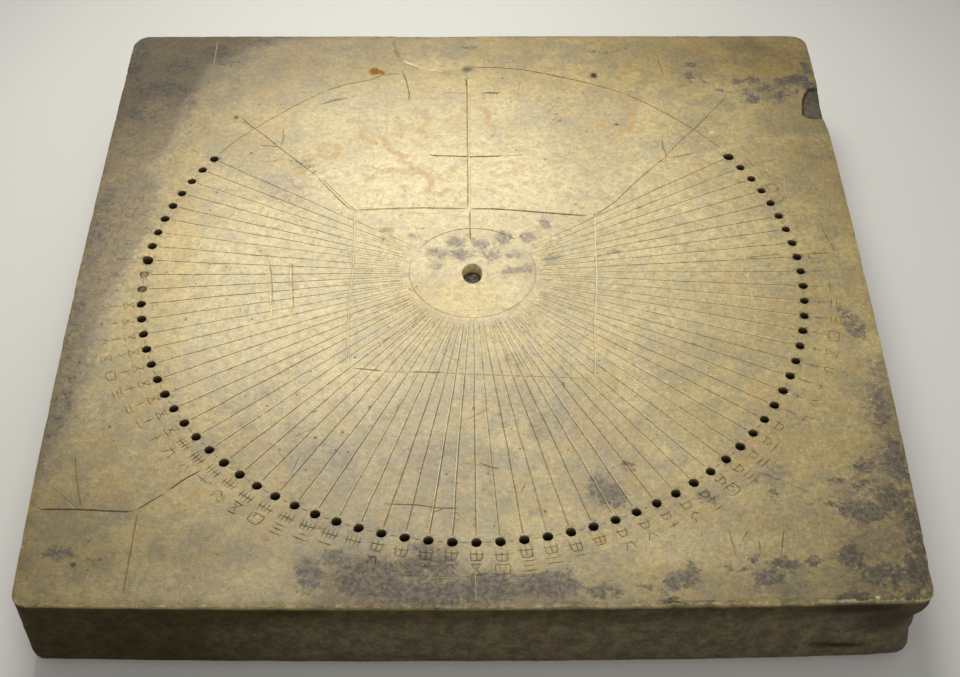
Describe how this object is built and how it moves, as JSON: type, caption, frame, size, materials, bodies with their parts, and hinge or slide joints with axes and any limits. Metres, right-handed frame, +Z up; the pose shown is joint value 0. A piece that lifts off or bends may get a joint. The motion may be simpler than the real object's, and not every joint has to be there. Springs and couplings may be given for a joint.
{
  "type": "stone sundial",
  "caption": "Square carved stone sundial slab with a central gnomon socket, a ring of small peg sockets, radial hour lines and a scribed square.",
  "frame": {"origin": "middle of the slab's underside, on the surface that it rests on", "axes": "+Z up out of the dial face, +Y towards the undivided sector at the back, +X to the right"},
  "size_m": [0.276, 0.277, 0.034],
  "materials": {
    "weathered_limestone": "satin polished face, matt dark sides",
    "packed_earth": "matt, crumbly",
    "lime_crust": "matt"
  },
  "bodies": {
    "root": {"dial_slab": "weathered_limestone", "centre_socket_fill": "packed_earth", "rim_socket_fills": "lime_crust"}
  },
  "joints": []
}
